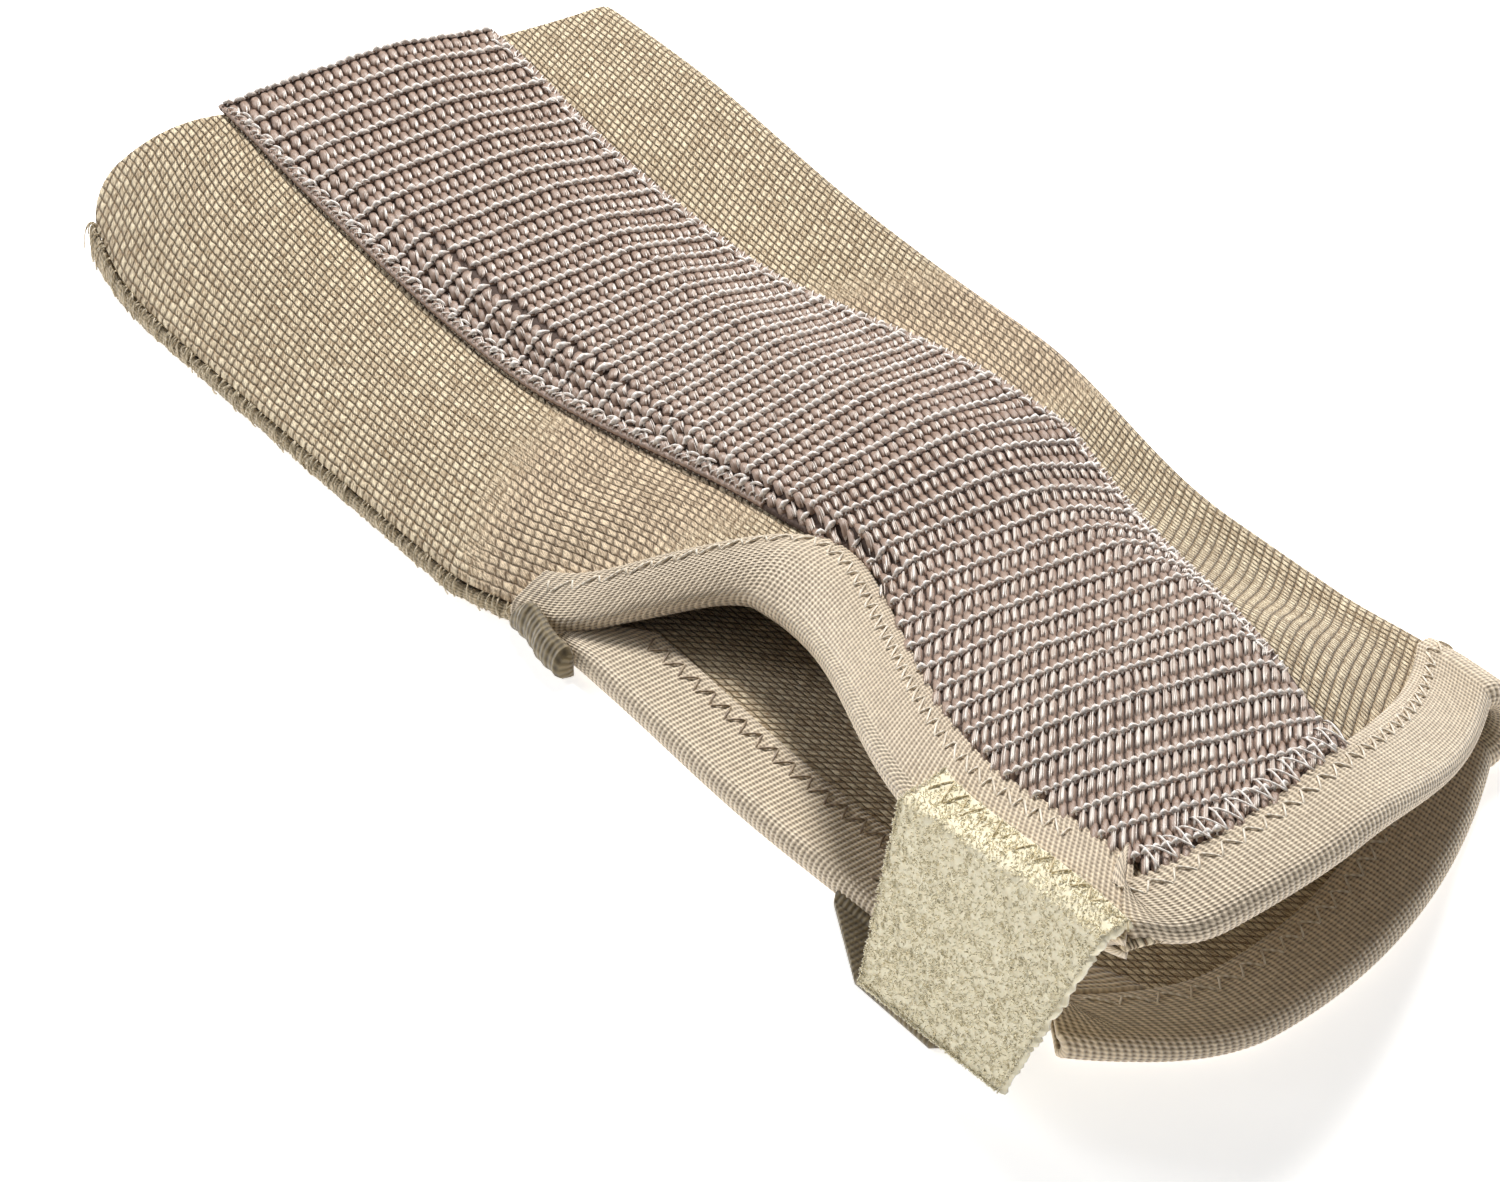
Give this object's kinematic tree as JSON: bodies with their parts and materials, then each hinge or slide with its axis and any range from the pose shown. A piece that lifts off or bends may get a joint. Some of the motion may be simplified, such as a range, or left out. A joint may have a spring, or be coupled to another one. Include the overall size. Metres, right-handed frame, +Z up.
{
  "type": "wrist splint",
  "caption": "Elastic wrist splint: tapered woven sleeve lying flat, with a thumb opening, bound edges, a palm-side pocket band holding a bent metal stay, and two web tabs.",
  "frame": {"origin": "on the flat underside, near the middle of the sleeve", "axes": "+X along the sleeve from the forearm end to the hand end, +Y from the thumb side to the folded side, +Z up from the table"},
  "size_m": [0.2076, 0.0953, 0.026],
  "materials": {
    "sleeve_weave": "woven elastic, raised block weave",
    "overlock": "overlocked edge",
    "binding_tape": "ribbed tape",
    "pocket_weave": "open spacer weave with glossy loops",
    "binding_elastic": "fine ribbed fold-over elastic, slight sheen",
    "clear_thread": "glossy thread",
    "beige_thread": "glossy thread",
    "dark_thread": "thread",
    "gold_thread": "glossy thread",
    "loop_pile": "brushed loop pile",
    "hook_tape": "hook tape",
    "stay_metal": "rolled, matt",
    "stay_vinyl": "dipped vinyl"
  },
  "bodies": {
    "sleeve": {"sleeve_panel": "sleeve_weave", "side_seam_overlock": "overlock", "seam_end_tape": "binding_tape", "stay_pocket_band": "pocket_weave", "pocket_side_stitches": "clear_thread", "pocket_end_stitches": "clear_thread", "thumb_binding_palm": "binding_elastic", "thumb_binding_palm_stitches": "beige_thread", "thumb_binding_back": "binding_elastic", "thumb_binding_back_stitches": "dark_thread", "hand_end_binding": "binding_elastic", "hand_end_binding_stitches": "beige_thread", "loop_tab_sewn_end": "loop_pile", "loop_tab_stitches": "gold_thread", "hook_tab_stitches": "dark_thread"},
    "loop_tab": {"loop_tab": "loop_pile"},
    "hook_tab": {"hook_tab": "hook_tape"},
    "stay": {"stay": "stay_metal", "stay_tip_forearm": "stay_vinyl", "stay_tip_hand": "stay_vinyl"}
  },
  "joints": [
    {"name": "stay_slide", "type": "hinge", "parent": "sleeve", "child": "stay", "pos_m": [-0.043, -0.0033, 0.5066], "axis": [0, 1, 0], "range_deg": [0, 20]},
    {"name": "loop_tab_fold", "type": "hinge", "parent": "sleeve", "child": "loop_tab", "pos_m": [0.071, -0.0423, 0.02042], "axis": [-0.9951, 0, -0.0988], "range_deg": [0, 160]},
    {"name": "hook_tab_fold", "type": "hinge", "parent": "sleeve", "child": "hook_tab", "pos_m": [0.061, -0.04308, 0.0007], "axis": [-1, 0, 0], "range_deg": [-90, 0]}
  ]
}
